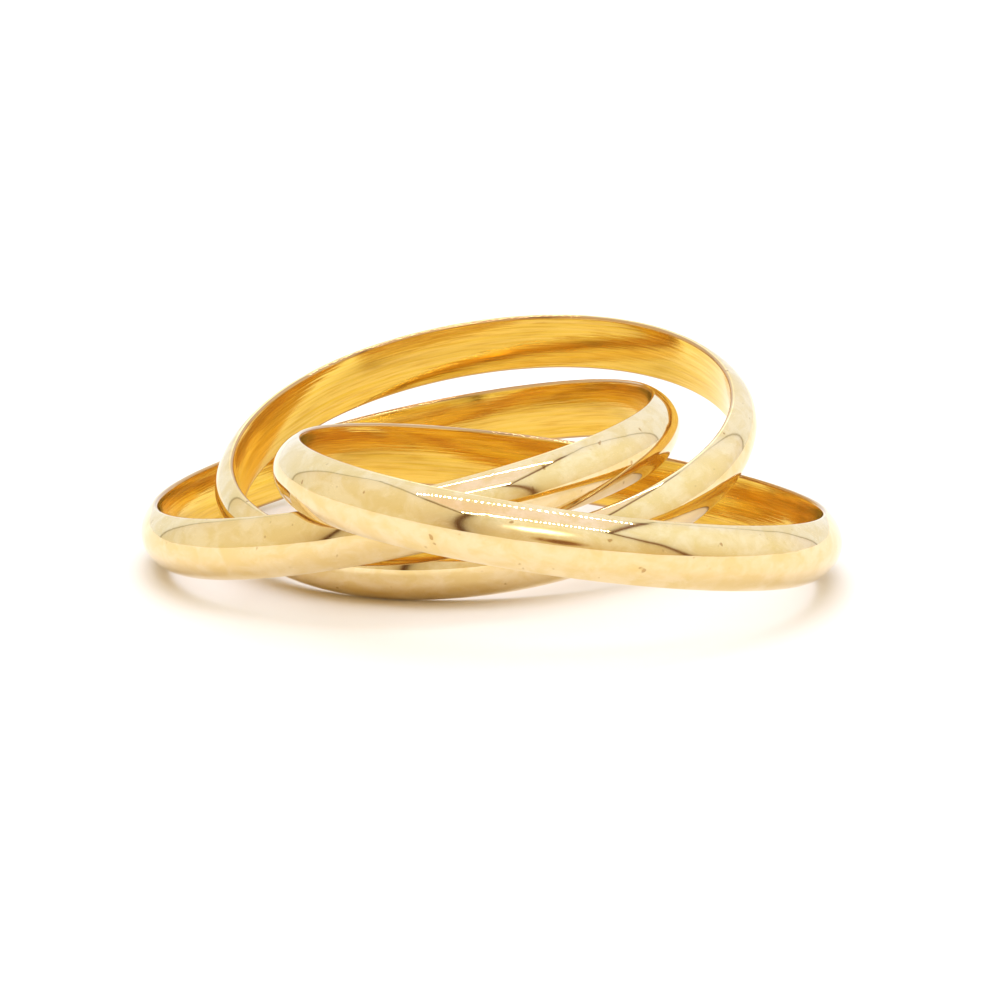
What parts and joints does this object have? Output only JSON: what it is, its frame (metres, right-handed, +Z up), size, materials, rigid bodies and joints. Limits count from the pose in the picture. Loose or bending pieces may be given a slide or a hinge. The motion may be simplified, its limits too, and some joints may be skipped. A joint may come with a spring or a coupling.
{
  "type": "rolling ring",
  "caption": "Finger ring of plain domed gold bands, each linked through the others so that they roll over one another, lying splayed on a surface.",
  "frame": {"origin": "on the surface that the ring lies on, under the middle of its bounding box", "axes": "+Z up from the surface, +Y away from the front as pictured, +X to the right"},
  "size_m": [0.0248, 0.0278, 0.0063],
  "materials": {
    "front_band_gold": "polished yellow gold",
    "left_band_gold": "polished yellow gold",
    "back_band_gold": "polished yellow gold"
  },
  "bodies": {
    "left_band": {"left_band": "left_band_gold"},
    "front_band": {"front_band": "front_band_gold"},
    "back_band": {"back_band": "back_band_gold"}
  },
  "joints": [
    {"name": "front_band_spin", "type": "hinge", "parent": "left_band", "child": "front_band", "pos_m": [0.00264, -0.00404, 0.00314], "axis": [0.1956, 0.1097, 0.9745], "continuous": true},
    {"name": "back_band_spin", "type": "hinge", "parent": "left_band", "child": "back_band", "pos_m": [0.00012, 0.00418, 0.00315], "axis": [-0.0934, -0.2054, 0.9742], "continuous": true}
  ]
}
